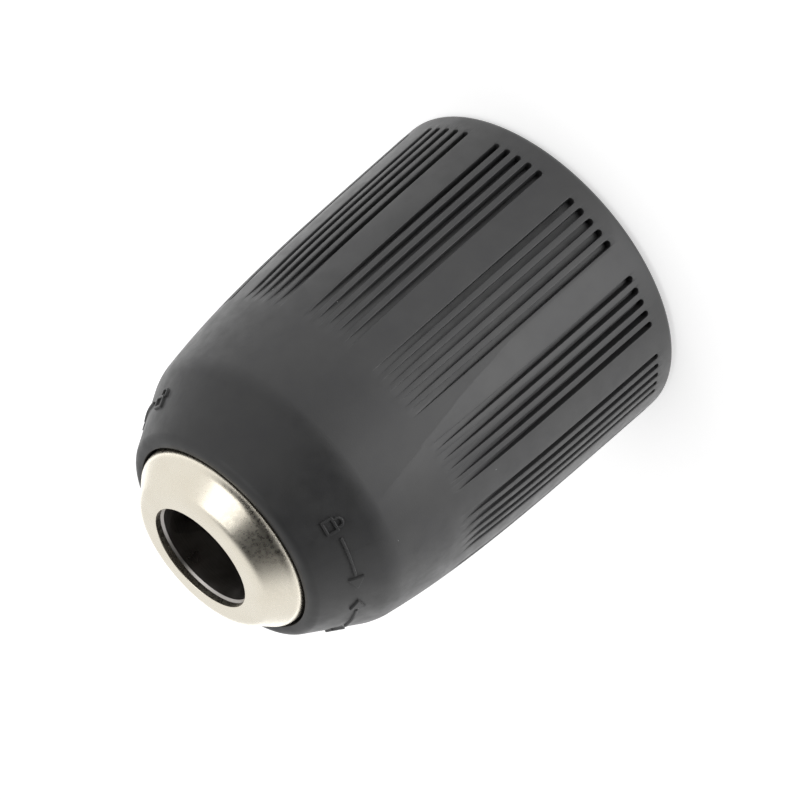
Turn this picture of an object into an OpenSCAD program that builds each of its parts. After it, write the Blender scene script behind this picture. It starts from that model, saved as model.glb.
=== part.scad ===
// Keyless drill chuck with one turning sleeve, 13 mm class, shown with its jaws open.
// The chuck axis is Z. The rear face is at z = 0 and the nose points up. Millimetres.

/* [Chuck] */
// Height of the nose face above the rear face
chuck_l = 57; // [56:0.5:59]
// Bore for the tool shank, which is also how far apart the open jaws stand
tool_bore_d = 13.2; // [12.8:0.1:13.6]
// Depth of the open jaws' tips below the nose face
jaw_tip_depth = 12.1; // [11:0.1:13]

/* [Spindle end] */
// Bore for the drill spindle's thread
spindle_bore_d = 12.7; // [12:0.1:13.2]
// Depth of the spindle bore
spindle_bore_l = 16; // [14:0.5:17]
// Chamfer at the spindle bore's mouth
spindle_chamfer = 0.8; // [0.4:0.1:1.2]
// Wall of the tail around the spindle bore
tail_wall = 3.45; // [3:0.05:4]
// Length of the tail behind the flange
tail_l = 18; // [17:0.5:19]
// Wall between the spindle bore and the tool bore
web_t = 4; // [3:0.5:5]
// Hole through that wall for the retaining screw
screw_hole_d = 6.5; // [5.5:0.1:7]

/* [Body] */
// Thickness of the flange that carries the thrust bearing
flange_t = 4; // [3.5:0.1:4.5]
// Steel left outside the jaw bores where the bearing sits
ledge_wall = 0.67; // [0.5:0.01:0.9]
// Gap between the body's core and the crests of the nut thread
core_gap = 0.6; // [0.4:0.1:1]
// Steel left outside the jaw bores in front of the nut
barrel_wall = 0.8; // [0.6:0.1:1.2]
// Length of the spigot that carries the nosepiece and the sleeve
spigot_l = 9; // [8.6:0.1:9.6]
// Wall of the spigot around the tool bore
spigot_wall = 4.6; // [4.4:0.05:4.7]
// Chamfer at the tool bore's mouth
bore_chamfer = 0.3; // [0.1:0.05:0.5]

/* [Jaws] */
// Diameter of the round jaws
jaw_d = 7; // [6.8:0.1:7.1]
// Gap between the open jaws' rear corners and the rear cover
jaw_rear_gap = 1.55; // [1:0.05:2.5]
// Angle between a jaw's axis and the chuck's axis
jaw_angle = 14; // [13.5:0.1:14.3]
// Height above the nose where the three jaw axes meet
apex_lead = 10; // [9.6:0.1:10.4]
// Radial running clearance of a jaw in its bore
jaw_fit = 0.06; // [0.03:0.01:0.1]
// Gap between neighbouring jaws when they are closed
jaw_gap = 0.12; // [0.08:0.02:0.3]
// Chamfer around the closed jaws' tips
tip_chamfer = 1.2; // [0.6:0.1:1.5]
// Width of the relief groove along the gripping face
grip_groove_w = 1; // [0.6:0.1:1.2]

/* [Nut and jaw thread] */
// Pitch of the thread, measured along a jaw
thread_pitch = 2.5; // [2.4:0.05:2.6]
// Turns of the nut from open to closed
nut_turns = 9.25; // [8.5:0.25:9.25]
// Height of the nut
nut_h = 9; // [8.8:0.1:9.4]
// Turns of thread cut in the nut
thread_turns = 3; // [2:1:3]
// How far the nut thread reaches into a jaw
thread_depth = 0.8; // [0.6:0.05:0.9]
// Width of a thread ridge at its crest
ridge_crest_w = 0.5; // [0.4:0.05:0.6]
// Width of a thread ridge at its root
ridge_root_w = 1.3; // [1.2:0.05:1.4]
// Gap between a ridge and the sides of a jaw notch
flank_gap = 0.18; // [0.15:0.01:0.22]
// Gap between a ridge's crest and the bottom of a jaw notch
crest_gap = 0.2; // [0.16:0.01:0.3]
// Gap between the nut's thread root and the jaws
root_gap = 0.15; // [0.12:0.01:0.25]
// Wall of the nut at its rear end
nut_wall = 1.92; // [1.7:0.01:2.1]
// Thickness of the band that holds the nut halves together
band_t = 1; // [0.8:0.05:1.1]
// Gap between the two nut halves, as an angle at each end
split_angle = 0.25; // [0.15:0.05:0.5]

/* [Thrust bearing] */
// Diameter of the bearing balls
ball_d = 2.4; // [2.2:0.05:2.6]
// Number of bearing balls
ball_count = 18; // [12:1:20]
// Thickness of each race
race_t = 0.9; // [0.8:0.05:1]
// Radial width of each race
race_w = 2.7; // [2.6:0.05:2.9]
// Thickness of the ball cage
cage_t = 0.9; // [0.6:0.05:1]
// Running clearance around the balls
ball_fit = 0.05; // [0.03:0.01:0.1]
// Number of ratchet teeth around the rear race
ratchet_teeth = 60; // [48:6:72]
// Depth of the ratchet teeth
ratchet_depth = 0.35; // [0.2:0.05:0.4]

/* [Lock] */
// Angle that the sleeve turns on the nut to lock it
lock_angle = 20; // [16:1:22]
// Angle that a drive lug takes up
lug_angle = 20; // [16:1:24]
// Height of a drive lug above the band
lug_rise = 0.9; // [0.7:0.05:1]
// Length of the drive lugs along the axis
lug_l = 3.6; // [3:0.1:4]
// Thickness of the lock spring's strip
spring_t = 0.4; // [0.3:0.05:0.45]
// Width of the lock spring's strip
spring_w = 4.2; // [4:0.1:4.3]
// Angle left open in the lock spring's ring
spring_open_angle = 50; // [40:5:70]
// Radius of the lock spring's detent bumps
bump_r = 0.55; // [0.45:0.05:0.6]
// Angle that the lock spring's pawl takes up
pawl_angle = 5; // [4:0.5:7]

/* [Sleeve] */
// Space between the races and the sleeve, which the pawl runs in
sleeve_space = 0.9; // [0.85:0.05:1.1]
// Wall of the sleeve over the bearing
sleeve_wall = 2.3; // [2.1:0.05:2.6]
// Height of the sleeve's rear rim above the rear face
sleeve_rear_z = 0.44; // [0.3:0.02:0.7]
// Rounding of the rear rim
rim_round = 0.75; // [0.5:0.05:1]
// Taper of the sleeve's side, as radius lost per length
side_taper = 0.03; // [0.02:0.005:0.04]
// Radius lost by the crowning of the sleeve's side at the shoulder
side_crown = 1.9; // [1.6:0.1:2.1]
// Distance of the shoulder behind the nose face
shoulder_setback = 11.7; // [11.2:0.1:12.2]
// Distance of the sleeve's mouth behind the nose face
mouth_setback = 3.64; // [3.4:0.02:3.9]
// Radial gap between the mouth and the nosepiece
mouth_gap = 0.32; // [0.25:0.01:0.4]
// Flat ring around the mouth
lip_flat = 0.42; // [0.3:0.02:0.6]
// Rounding of the lip
lip_round = 1.5; // [1.2:0.1:1.7]
// Wall of the sleeve's front cone
front_wall = 2.3; // [2:0.1:2.6]
// Radial running clearance of the sleeve on the body
sleeve_fit = 0.05; // [0.03:0.01:0.1]

/* [Grip grooves] */
// Number of groups of grooves around the sleeve
groove_groups = 12; // [8:1:13]
// Number of grooves in a group
grooves_per_group = 5; // [3:1:5]
// Angle from one groove to the next
groove_pitch = 4.243; // [4:0.05:4.6]
// Width of a groove
groove_w = 0.8; // [0.6:0.05:1]
// Depth of a groove at its rear end
groove_depth = 1.05; // [0.8:0.05:1.15]
// Angle at which a groove's floor falls towards the nose
groove_draft = 1.1; // [1:0.05:1.3]
// Height of the grooves' rear end above the rear face
groove_z = 3.34; // [3:0.1:4]

/* [Nosepiece] */
// Wall of the nosepiece's skirt
skirt_wall = 0.9; // [0.8:0.05:1]
// Length of the nosepiece along the axis
nosepiece_l = 5.5; // [5.2:0.1:5.7]
// Thickness of the nosepiece's front
nose_front_t = 0.8; // [0.6:0.05:1]
// Radial step from the tool bore out to the nosepiece's hole
nose_step = 0.23; // [0.15:0.01:0.3]
// Radial width of the bevel
bevel_w = 2.82; // [2.6:0.02:2.9]
// Length of the bevel along the axis
bevel_l = 3.16; // [3:0.02:3.3]
// Rounding between the bevel and the skirt
bevel_round = 2; // [1.2:0.1:2.2]

/* [Rear cover] */
// Height of the rear cover above the rear face
cover_z = 1; // [0.8:0.1:1.4]
// Sheet thickness of the rear cover
cover_t = 0.8; // [0.6:0.05:1]
// Height of the rear cover's hub and rim
cover_h = 2.2; // [1.8:0.1:2.4]
// Radial gap between the rear cover and the sleeve
cover_gap = 0.3; // [0.2:0.05:0.4]

/* [Hidden] */
$fn = 96;
JAWS = 3;
LUGS = 3;
// Overrun of a cutting tool past the face that it cuts
over = 1;
// Axial and radial gaps between pieces that turn on each other
turn_gap = 0.2;
// How deep a ridge is rooted in the nut
ridge_root = 0.3;
// Angle from one section of a ridge to the next
ridge_step = 10;

tool_r = tool_bore_d / 2;
spindle_r = spindle_bore_d / 2;
tail_r = spindle_r + tail_wall;
jaw_r = jaw_d / 2;

// Heights along the axis
tool_bore_z = spindle_bore_l + web_t;
bearing_z = tail_l + flange_t;
race_gap = 0.75 * ball_d;
ball_z = bearing_z + race_t + race_gap / 2;
front_race_z = bearing_z + race_t + race_gap;
nut_z = front_race_z + race_t;
nut_top_z = nut_z + nut_h;
nut_mid_z = nut_z + nut_h / 2;
barrel_z = nut_top_z + 2 * turn_gap;
spigot_z = chuck_l - spigot_l;
body_top_z = chuck_l - nose_front_t;
skirt_z = chuck_l - nosepiece_l;
apex_z = chuck_l + apex_lead;

// Distances along a jaw's axis, from the point where the axes meet
function along_jaw(z) = (z - apex_z) / cos(jaw_angle);
jaw_tip_z = chuck_l - jaw_tip_depth;
cover_top_z = cover_z + cover_h;
jaw_rear_s = along_jaw(cover_top_z + jaw_rear_gap + jaw_r * sin(jaw_angle));
nut_mid_s = along_jaw(nut_mid_z);
jaw_travel = nut_turns * thread_pitch;
// How far a jaw moves towards the axis as it closes
jaw_shift = jaw_travel * sin(jaw_angle);

// Radius of the cone at distance n outside the jaws' axes
function cone_r(z, n = 0) = (apex_z - z) * tan(jaw_angle) + n / cos(jaw_angle);

// Radii of the nut thread, measured from a jaw's axis
ridge_crest_n = jaw_r - thread_depth;
ridge_root_n = jaw_r + root_gap;

ledge_r = cone_r(bearing_z, jaw_r) + ledge_wall;
barrel_r = cone_r(barrel_z, jaw_r) + barrel_wall;
core_r = cone_r(nut_top_z, ridge_crest_n) - core_gap;
spigot_r = tool_r + spigot_wall;
race_in_r = ledge_r + turn_gap / 2;
race_out_r = race_in_r + race_w;
race_mid_r = race_in_r + race_w / 2;
flange_r = race_out_r;
nut_r = cone_r(nut_z, ridge_root_n) + nut_wall;
band_r = nut_r + band_t;
lug_r = band_r + lug_rise;
spring_r = band_r + ball_fit + spring_t;
bump_top_r = spring_r + bump_r;
pawl_r = race_out_r + turn_gap;

// Sleeve
sleeve_bore_r = race_out_r + sleeve_space;
sleeve_r = sleeve_bore_r + sleeve_wall;
land_r = max(lug_r + turn_gap, bump_top_r + turn_gap / 2);
guide_r = band_r + turn_gap;
web_r = spigot_r + sleeve_fit;
web_z = spigot_z + turn_gap;
web_top_z = skirt_z - turn_gap * 1.5;
spring_z = nut_z + 2 * turn_gap;
land_z = spring_z + 1.6;
guide_z = spring_z + spring_w + turn_gap;
lug_z = nut_top_z - lug_l;
skirt_r = spigot_r + skirt_wall;
mouth_r = skirt_r + mouth_gap;
mouth_z = chuck_l - mouth_setback;
shoulder_z = chuck_l - shoulder_setback;
// Height where the side's taper and crowning start
side_z = 2.6;
side_l = shoulder_z - side_z;

function jaw_name(n) = str("jaw_", n);
function ball_name(i) = str("ball_", i < 10 ? "0" : "", i);

// Points of an arc about centre c, from angle a0 to a1
function arc(c, r, a0, a1, steps) =
    [for (i = [0:steps]) let (a = a0 + (a1 - a0) * i / steps) c + r * [cos(a), sin(a)]];

// A body of revolution with its inner and outer radii and its two heights
module ring(r_in, r_out, z0, z1) {
    rotate_extrude()
        translate([r_in, z0])
            square([r_out - r_in, z1 - z0]);
}

// Part of a ring, from angle a0 over angle span
module ring_sector(r_in, r_out, z0, z1, a0, span) {
    rotate([0, 0, a0])
        rotate_extrude(angle = span)
            translate([r_in, z0])
                square([r_out - r_in, z1 - z0]);
}

// Places its children on a jaw's axis, with the origin where the axes meet
module on_jaw_axis() {
    translate([0, 0, apex_z])
        rotate([0, -jaw_angle, 0])
            children();
}

// ---- Body ----

module chuck_body() {
    bore_low_z = tail_l - 6;
    color("dimgray")
        difference() {
            rotate_extrude()
                polygon([
                    [0, 0],
                    [tail_r, 0],
                    [tail_r, tail_l],
                    [flange_r, tail_l],
                    [flange_r, bearing_z],
                    [ledge_r, bearing_z],
                    [ledge_r, nut_z - turn_gap],
                    [core_r, nut_z - turn_gap],
                    [core_r, barrel_z],
                    [barrel_r, barrel_z],
                    [barrel_r, spigot_z],
                    [spigot_r, spigot_z],
                    [spigot_r, nose_inner_corner()[1]],
                    nose_inner_front(),
                    [0, body_top_z]
                ]);
            translate([0, 0, -over])
                cylinder(r = spindle_r, h = spindle_bore_l + over);
            bore_chamfer_cut(spindle_r, 0, spindle_chamfer, -1);
            cylinder(d = screw_hole_d, h = tool_bore_z + over);
            translate([0, 0, tool_bore_z])
                cylinder(r = tool_r, h = chuck_l);
            bore_chamfer_cut(tool_r, body_top_z, bore_chamfer, 1);
            for (n = [0:JAWS - 1])
                rotate([0, 0, 360 / JAWS * n])
                    on_jaw_axis()
                        translate([0, 0, along_jaw(bore_low_z)])
                            cylinder(
                                r = jaw_r + jaw_fit,
                                h = along_jaw(chuck_l) - along_jaw(bore_low_z)
                            );
        }
}

// A cone that bevels the mouth of a bore, which opens up (side 1) or down (side -1)
module bore_chamfer_cut(r, z, size, side) {
    rotate_extrude()
        polygon([
            [0, z - side * size],
            [r, z - side * size],
            [r + size + over, z + side * over],
            [0, z + side * over]
        ]);
}

// ---- Nosepiece ----

bevel_angle = atan2(bevel_l, bevel_w);
// Corner where the bevel would meet the skirt, and the front edge of the bevel
function bevel_corner() = [skirt_r, chuck_l - bevel_l];
function bevel_front() = [skirt_r - bevel_w, chuck_l];
// The same two corners on the inside, one wall further in
function nose_inner_corner() =
    [spigot_r, bevel_corner()[1] - (nose_front_t - skirt_wall * cos(bevel_angle)) / sin(bevel_angle)];
function nose_inner_front() =
    [
        spigot_r - (body_top_z - nose_inner_corner()[1]) / tan(bevel_angle),
        body_top_z
    ];

module nosepiece() {
    normal_angle = 90 - bevel_angle;
    round_back = bevel_round * tan(normal_angle / 2);
    round_centre = [skirt_r - bevel_round, bevel_corner()[1] - round_back];
    color("gainsboro")
        rotate_extrude()
            polygon(concat(
                [[spigot_r, skirt_z], [skirt_r, skirt_z]],
                arc(round_centre, bevel_round, 0, normal_angle, 5),
                [
                    bevel_front(),
                    [tool_r + nose_step, chuck_l],
                    [tool_r + nose_step, body_top_z],
                    nose_inner_front(),
                    nose_inner_corner()
                ]
            ));
}

// ---- Jaws ----

// One jaw, with its gripping face towards the axis and its thread on the outside
module jaw(n) {
    azimuth = 360 / JAWS * (n - 1);
    color("darkgray")
        rotate([0, 0, azimuth])
            difference() {
                intersection() {
                    on_jaw_axis()
                        translate([0, 0, jaw_rear_s])
                            cylinder(r = jaw_r, h = along_jaw(jaw_tip_z) + jaw_r - jaw_rear_s);
                    jaw_wedge();
                }
                jaw_tip_bevel();
                grip_groove();
                jaw_notches(azimuth);
            }
}

// The space between the two side faces, behind the gripping face and below the tip
module jaw_wedge() {
    side_angle = 180 / JAWS;
    far_x = 2 * flange_r;
    back_off = jaw_gap / 2 / cos(side_angle);
    function half_w(x) = (x - jaw_shift) * tan(side_angle) - back_off;
    linear_extrude(height = jaw_tip_z)
        polygon([
            [tool_r, -half_w(tool_r)],
            [far_x, -half_w(far_x)],
            [far_x, half_w(far_x)],
            [tool_r, half_w(tool_r)]
        ]);
}

// The bevel is turned about the chuck's axis, with the jaws closed
module jaw_tip_bevel() {
    edge_r = cone_r(jaw_tip_z + jaw_travel * cos(jaw_angle), jaw_r);
    translate([jaw_shift, 0, 0])
        rotate_extrude()
            polygon([
                [edge_r - tip_chamfer, jaw_tip_z],
                [edge_r + 2 * over, jaw_tip_z - tip_chamfer - 2 * over],
                [edge_r + 2 * over, jaw_tip_z + over],
                [edge_r - tip_chamfer, jaw_tip_z + over]
            ]);
}

module grip_groove() {
    translate([tool_r, 0, 0])
        rotate([0, 0, 45])
            translate([-grip_groove_w / 2 * sqrt(0.5), -grip_groove_w / 2 * sqrt(0.5), 0])
                cube([grip_groove_w * sqrt(0.5), grip_groove_w * sqrt(0.5), chuck_l]);
}

// Half the width of a thread ridge at distance n from the jaw's axis
function ridge_half_w(n) =
    let (slope = (ridge_root_w - ridge_crest_w) / (ridge_root_n - ridge_crest_n))
        (ridge_crest_w + slope * (n - ridge_crest_n)) / 2;

// A point of the thread's section at height s along the jaw from the nut's middle
function thread_point(n, s) =
    [
        cone_r(nut_mid_z) + n * cos(jaw_angle) - s * sin(jaw_angle),
        nut_mid_z + n * sin(jaw_angle) + s * cos(jaw_angle)
    ];

// Distance along the jaw that the thread climbs over an angle
function climb(angle) = thread_pitch * angle / 360;
// Start of the thread, which puts its middle halfway up the nut at the jaws' surface
thread_start_s = -thread_pitch * thread_turns / 2 - jaw_r * tan(jaw_angle);

// Each notch is turned about the chuck's axis and tilted to the thread's helix
module jaw_notches(azimuth) {
    first = floor((jaw_rear_s - nut_mid_s) / thread_pitch);
    last = ceil(nut_h / 2 / thread_pitch);
    for (i = [first:last])
        jaw_notch(thread_start_s + climb(azimuth) + thread_pitch * (i + floor(thread_turns / 2)));
}

module jaw_notch(s) {
    low_n = ridge_crest_n - crest_gap;
    high_n = jaw_r + thread_pitch / 5;
    low_w = ridge_half_w(low_n) + flank_gap;
    high_w = ridge_half_w(high_n) + flank_gap;
    helix_angle = atan(thread_pitch * cos(jaw_angle) / (2 * PI * cone_r(nut_mid_z, jaw_r)));
    translate([-s * sin(jaw_angle), 0, s * cos(jaw_angle)])
        translate([0, 0, nut_mid_z])
            rotate([helix_angle, 0, 0])
                translate([0, 0, -nut_mid_z])
                    rotate_extrude()
                        polygon([
                            thread_point(low_n, -low_w),
                            thread_point(high_n, -high_w),
                            thread_point(high_n, high_w),
                            thread_point(low_n, low_w)
                        ]);
}

// ---- Nut ----

// One half of the split nut, which covers the half turn from angle a0
module nut_half(a0) {
    rotate([0, 0, a0 + split_angle])
        rotate_extrude(angle = 180 - 2 * split_angle)
            polygon([
                [cone_r(nut_z, ridge_root_n), nut_z],
                [nut_r, nut_z],
                [nut_r, nut_top_z],
                [cone_r(nut_top_z, ridge_root_n), nut_top_z]
            ]);
    for (turn = [0:thread_turns - 1])
        half_ridge(a0, thread_start_s + climb(a0) + thread_pitch * turn);
}

// Half a turn of the thread ridge, from angle a0, where its middle is at s
module half_ridge(a0, s) {
    steps = round(180 / ridge_step);
    span = 180 - 2 * split_angle;
    points = [
        for (i = [0:steps])
            let (a = split_angle + span * i / steps)
                each ridge_section(a0 + a, s + climb(a))
    ];
    sides = [
        for (i = [0:steps - 1], k = [0:3])
            let (p = 4 * i + k, q = 4 * i + (k + 1) % 4)
                each [[p, q, p + 4], [q, q + 4, p + 4]]
    ];
    last = 4 * steps;
    ends = [[0, 2, 1], [0, 3, 2], [last, last + 1, last + 2], [last, last + 2, last + 3]];
    polyhedron(points, concat(sides, ends), convexity = 4);
}

// The four corners of the ridge's section at an angle about the axis
function ridge_section(angle, s) =
    let (
        in_w = ridge_half_w(ridge_crest_n),
        out_n = ridge_root_n + ridge_root,
        out_w = ridge_half_w(ridge_root_n)
    )
        [
            for (p = [[ridge_crest_n, -in_w], [out_n, -out_w], [out_n, out_w], [ridge_crest_n, in_w]])
                let (q = thread_point(p[0], s + p[1]))
                    [q[0] * cos(angle), q[0] * sin(angle), q[1]]
        ];

module nut_half_a() {
    color("peru") nut_half(0);
}

module nut_half_b() {
    color("burlywood") nut_half(180);
}

// The band pressed round the nut halves, with the lugs that the sleeve drives
module nut_band() {
    color("slategray") {
        ring(nut_r, band_r, nut_z, nut_top_z);
        for (i = [0:LUGS - 1])
            ring_sector(band_r - band_t / 2, lug_r, lug_z, nut_top_z, 360 / LUGS * i, lug_angle);
    }
}

// ---- Thrust bearing ----

// The groove that the balls run in
module ball_track() {
    rotate_extrude()
        translate([race_mid_r, ball_z])
            circle(r = ball_d / 2 + ball_fit);
}

module front_race() {
    color("silver")
        difference() {
            ring(race_in_r, race_out_r, front_race_z, front_race_z + race_t);
            ball_track();
        }
}

// The rear race, whose rim has the teeth that the pawl locks into
module ratchet_race() {
    tooth_angle = 360 / ratchet_teeth;
    root_r = race_out_r - ratchet_depth;
    // Share of a tooth's pitch that its slope takes up
    slope = 0.85;
    rim = [
        for (i = [0:ratchet_teeth - 1], k = [0, 1])
            let (a = tooth_angle * (i + k * slope), r = k == 0 ? root_r : race_out_r)
                r * [cos(a), sin(a)]
    ];
    color("lightsteelblue")
        difference() {
            translate([0, 0, bearing_z])
                linear_extrude(height = race_t)
                    polygon(rim);
            translate([0, 0, bearing_z - over])
                cylinder(r = race_in_r, h = race_t + 2 * over);
            ball_track();
        }
}

// The pocket or ball that stands at place i of the ball circle
module at_ball(i) {
    rotate([0, 0, 360 / ball_count * (i - 0.5)])
        translate([race_mid_r, 0, ball_z])
            children();
}

module ball_cage() {
    rim_w = race_w / 2 - ball_fit;
    color("goldenrod")
        difference() {
            ring(race_mid_r - rim_w, race_mid_r + rim_w, ball_z - cage_t / 2, ball_z + cage_t / 2);
            for (i = [1:ball_count])
                at_ball(i)
                    cylinder(r = ball_d / 2 + ball_fit, h = cage_t + over, center = true);
        }
}

module ball(i) {
    color("white")
        at_ball(i)
            sphere(r = ball_d / 2);
}

// ---- Lock ----

bump_angle = 70;

// The strip round the band, with its detent bumps and the pawl at one end
module lock_spring() {
    pawl_a = spring_open_angle;
    color("tomato")
        difference() {
            union() {
                ring_sector(
                    spring_r - spring_t, spring_r, spring_z, spring_z + spring_w,
                    spring_open_angle, 360 - spring_open_angle
                );
                for (i = [0:LUGS - 1])
                    rotate([0, 0, bump_angle + 360 / LUGS * i])
                        translate([spring_r, 0, land_z + turn_gap])
                            cylinder(r = bump_r, h = spring_z + spring_w - land_z - turn_gap);
                ring_sector(
                    spring_r - spring_t, pawl_r + spring_t, spring_z, land_z - turn_gap,
                    pawl_a, pawl_angle
                );
                ring_sector(
                    pawl_r, pawl_r + spring_t, bearing_z + turn_gap, land_z - turn_gap,
                    pawl_a, pawl_angle
                );
            }
            translate([0, 0, bearing_z])
                cylinder(r = spring_r - spring_t, h = nut_h + bearing_z);
        }
}

// ---- Sleeve ----

// Radius of the sleeve's side at a height
function side_r(z) =
    let (x = max(z - side_z, 0))
        sleeve_r - side_taper * x - side_crown * pow(x / side_l, 4);

// The front cone runs from the shoulder to where it touches the lip's rounding
lip_centre = [mouth_r + lip_flat, mouth_z - lip_round];
shoulder_r = side_r(shoulder_z);
lip_reach = norm(lip_centre - [shoulder_r, shoulder_z]);
cone_angle =
    atan2(shoulder_r - lip_centre[0], lip_centre[1] - shoulder_z) - asin(lip_round / lip_reach);
// Radius of the inside of the front cone at a height
function cone_in_r(z) = shoulder_r - front_wall / cos(cone_angle) - (z - shoulder_z) * tan(cone_angle);
cone_in_z = shoulder_z - (guide_r - cone_in_r(shoulder_z)) / tan(cone_angle);

module outer_sleeve() {
    color([0.27, 0.27, 0.28])
        difference() {
            sleeve_shell();
            for (i = [0:LUGS - 1]) {
                lug_pocket(360 / LUGS * i);
                detent(bump_angle + 360 / LUGS * i);
                detent(bump_angle + 360 / LUGS * i + lock_angle);
            }
            for (g = [0:groove_groups - 1], k = [0:grooves_per_group - 1])
                rotate([0, 0, groove_angle(g, k)])
                    grip_cut();
        }
}

module sleeve_shell() {
    side_steps = 9;
    rim_centre = [sleeve_r - rim_round, sleeve_rear_z + rim_round];
    inside = [
        [sleeve_bore_r, sleeve_rear_z],
        [sleeve_bore_r, land_z],
        [land_r, land_z],
        [land_r, guide_z],
        [guide_r, guide_z],
        [guide_r, cone_in_z],
        [cone_in_r(web_z), web_z],
        [web_r, web_z],
        [web_r, web_top_z],
        [mouth_r, web_top_z],
        [mouth_r, mouth_z]
    ];
    side = [for (i = [0:side_steps]) let (z = shoulder_z - side_l * i / side_steps) [side_r(z), z]];
    rotate_extrude()
        polygon(concat(
            inside,
            arc(lip_centre, lip_round, 90, cone_angle, 5),
            side,
            arc(rim_centre, rim_round, 0, -90, 4)
        ));
}

// A pocket that leaves a lug room to turn by the lock angle
module lug_pocket(a0) {
    slack = 0.5;
    ring_sector(
        guide_r - over, land_r + turn_gap, guide_z - over, nut_top_z + 2 * turn_gap,
        a0 - slack, lug_angle + lock_angle + 2 * slack
    );
}

// A hollow along the land for a detent bump
module detent(a) {
    rotate([0, 0, a])
        translate([spring_r, 0, land_z - over])
            cylinder(r = bump_r + 2 * turn_gap, h = guide_z - land_z + 2 * over);
}

// Place of groove k of group g around the sleeve
function groove_angle(g, k) =
    360 / groove_groups * (g + 0.5) + groove_pitch * (k - (grooves_per_group - 1) / 2);

// One grip groove, round at its rear end and running out towards the nose
module grip_cut() {
    translate([sleeve_r - groove_depth, 0, groove_z + groove_w / 2])
        rotate([0, 90 - groove_draft, 0])
            linear_extrude(height = 2 * groove_depth + over)
                union() {
                    circle(d = groove_w);
                    translate([-side_l, -groove_w / 2])
                        square([side_l, groove_w]);
                }
}

// ---- Rear cover ----

module rear_cover() {
    out_r = sleeve_bore_r - cover_gap;
    color("darkslategray")
        rotate_extrude()
            polygon([
                [tail_r, cover_z],
                [out_r, cover_z],
                [out_r, cover_top_z],
                [out_r - cover_t, cover_top_z],
                [out_r - cover_t, cover_z + cover_t],
                [tail_r + cover_t, cover_z + cover_t],
                [tail_r + cover_t, cover_top_z],
                [tail_r, cover_top_z]
            ]);
}

chuck_body();
nosepiece();
outer_sleeve();
rear_cover();
for (n = [1:JAWS])
    jaw(n);
nut_half_a();
nut_half_b();
nut_band();
front_race();
ratchet_race();
ball_cage();
lock_spring();
for (i = [1:ball_count])
    ball(i);
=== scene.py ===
"""Looks of the keyless drill chuck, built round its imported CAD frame.

The chuck stands on its rear face with its axis on Z and its nose up. Lengths are in millimetres
and MM turns them into metres, except for the floor and the lamps, whose lengths are in metres.
"""

import math

import bmesh
import bpy
import numpy as np
from mathutils import Matrix, Vector


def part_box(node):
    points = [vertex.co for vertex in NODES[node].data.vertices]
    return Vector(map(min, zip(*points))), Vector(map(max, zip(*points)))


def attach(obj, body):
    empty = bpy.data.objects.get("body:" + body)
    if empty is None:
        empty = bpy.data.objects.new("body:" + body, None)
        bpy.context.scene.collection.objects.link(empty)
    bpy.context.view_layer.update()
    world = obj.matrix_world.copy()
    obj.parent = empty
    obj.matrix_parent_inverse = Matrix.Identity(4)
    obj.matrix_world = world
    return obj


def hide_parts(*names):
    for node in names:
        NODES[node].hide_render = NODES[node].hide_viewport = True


MM = 0.001

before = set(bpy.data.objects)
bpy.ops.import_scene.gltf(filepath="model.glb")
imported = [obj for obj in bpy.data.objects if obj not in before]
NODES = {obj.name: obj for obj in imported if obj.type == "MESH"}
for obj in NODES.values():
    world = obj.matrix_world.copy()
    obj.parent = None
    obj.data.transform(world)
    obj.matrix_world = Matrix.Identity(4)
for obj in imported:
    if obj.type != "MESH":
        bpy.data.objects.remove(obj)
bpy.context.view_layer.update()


def low(node, axis):
    """Lowest coordinate of a CAD node along an axis, in millimetres."""
    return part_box(node)[0][axis] / MM


def high(node, axis):
    """Highest coordinate of a CAD node along an axis, in millimetres."""
    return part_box(node)[1][axis] / MM


# ---- Clearances and walls that repeat the CAD source ----

# Gap between pieces that turn on each other
TURN_GAP = 0.2
# Running clearance of the sleeve on the body
SLEEVE_FIT = 0.05
# Gap between the rear cover and the sleeve
COVER_GAP = 0.3
# Gap between the sleeve's mouth and the nosepiece
MOUTH_GAP = 0.32
# Thickness of the band round the nut halves
BAND_T = 1.0
# Width of the lock spring's strip, and how far its outside stands off the band
SPRING_W = 4.2
SPRING_RISE = 0.45

# ---- Sizes that come from the frame ----

CHUCK_L = high("nosepiece", 2)
SKIRT_R = high("nosepiece", 0)
SKIRT_Z = low("nosepiece", 2)
SLEEVE_R = high("outer_sleeve", 0)
SLEEVE_REAR_Z = low("outer_sleeve", 2)
MOUTH_Z = high("outer_sleeve", 2)
BODY_TOP_Z = high("chuck_body", 2)
BAND_R = high("nut_half_a", 0) + BAND_T
NUT_TOP_Z = high("nut_band", 2)
LUG_R = high("nut_band", 0)
SPRING_Z = high("front_race", 2) + 2 * TURN_GAP
COVER_R = high("rear_cover", 0)
COVER_Z = low("rear_cover", 2)
COVER_TOP_Z = high("rear_cover", 2)

# ---- Shapes that repeat the CAD source ----

# Body
TOOL_R = 6.6
SPINDLE_R = 6.35
SPINDLE_L = 16
TAIL_R = 9.8
SPIGOT_R = 11.2
SPIGOT_L = 9

# Inside of the sleeve, from the rear to the mouth
SLEEVE_BORE_R = COVER_R + COVER_GAP
LAND_R = LUG_R + TURN_GAP
LAND_Z = SPRING_Z + 1.6
GUIDE_R = BAND_R + TURN_GAP
GUIDE_Z = SPRING_Z + SPRING_W + TURN_GAP
WEB_R = SPIGOT_R + SLEEVE_FIT
WEB_Z = CHUCK_L - SPIGOT_L + TURN_GAP
WEB_TOP_Z = SKIRT_Z - 1.5 * TURN_GAP
MOUTH_R = SKIRT_R + MOUTH_GAP

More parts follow.
